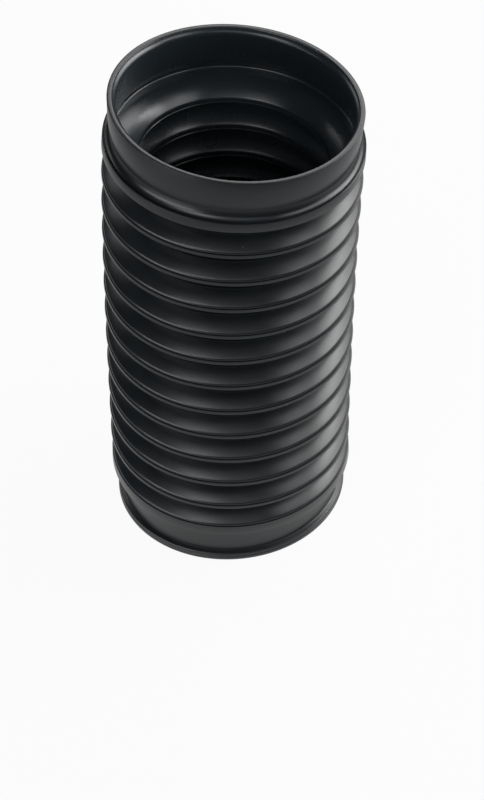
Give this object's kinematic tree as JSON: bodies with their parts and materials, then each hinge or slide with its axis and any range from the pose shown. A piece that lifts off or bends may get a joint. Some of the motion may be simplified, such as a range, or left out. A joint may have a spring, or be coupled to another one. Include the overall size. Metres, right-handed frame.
{
  "type": "rubber bellows boot",
  "caption": "Round moulded rubber bellows boot with sharp-lipped folds, a plain clamp collar at the mouth and a beaded clamp collar at the foot.",
  "frame": {"origin": "middle of the lower end, on the surface that the boot stands on", "axes": "+Z along the boot's axis, from the beaded lower collar to the mouth of the upper collar; the boot is round, so +X and +Y are free"},
  "size_m": [0.1, 0.1, 0.2037],
  "materials": {
    "rubber": "satin black moulded rubber"
  },
  "bodies": {
    "root": {"bellows_boot": "rubber"}
  },
  "joints": []
}
